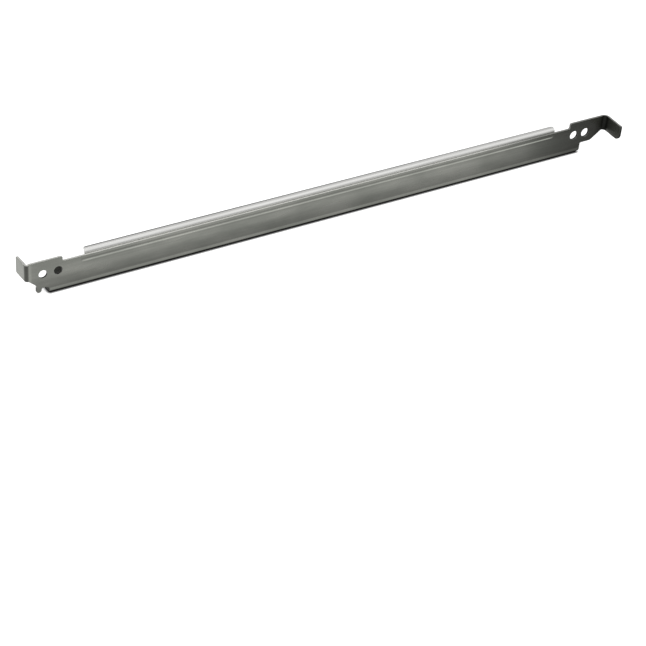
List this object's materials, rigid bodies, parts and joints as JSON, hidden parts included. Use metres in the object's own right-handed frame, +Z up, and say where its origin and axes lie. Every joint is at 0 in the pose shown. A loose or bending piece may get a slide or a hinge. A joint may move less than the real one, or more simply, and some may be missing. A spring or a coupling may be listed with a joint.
{
  "type": "toner metering doctor blade",
  "caption": "Long folded sheet-steel bracket with a thin spring-steel doctor blade along its upper edge, rolled over to level toner on a roller; screw holes and bent tabs at both ends.",
  "frame": {"origin": "on the floor under the middle of the part's box, with the bracket standing on its flange", "axes": "+X along the blade, from the end whose tab turns back to the end whose tab turns forward; +Y from the web's face towards the flange's rear edge; +Z up, towards the rolled edge"},
  "size_m": [0.276, 0.026, 0.0154],
  "materials": {
    "zinc_steel": "satin zinc-plated rolled sheet",
    "spring_steel": "polished spring strip"
  },
  "bodies": {
    "root": {"bracket": "zinc_steel", "blade": "spring_steel"}
  },
  "joints": []
}
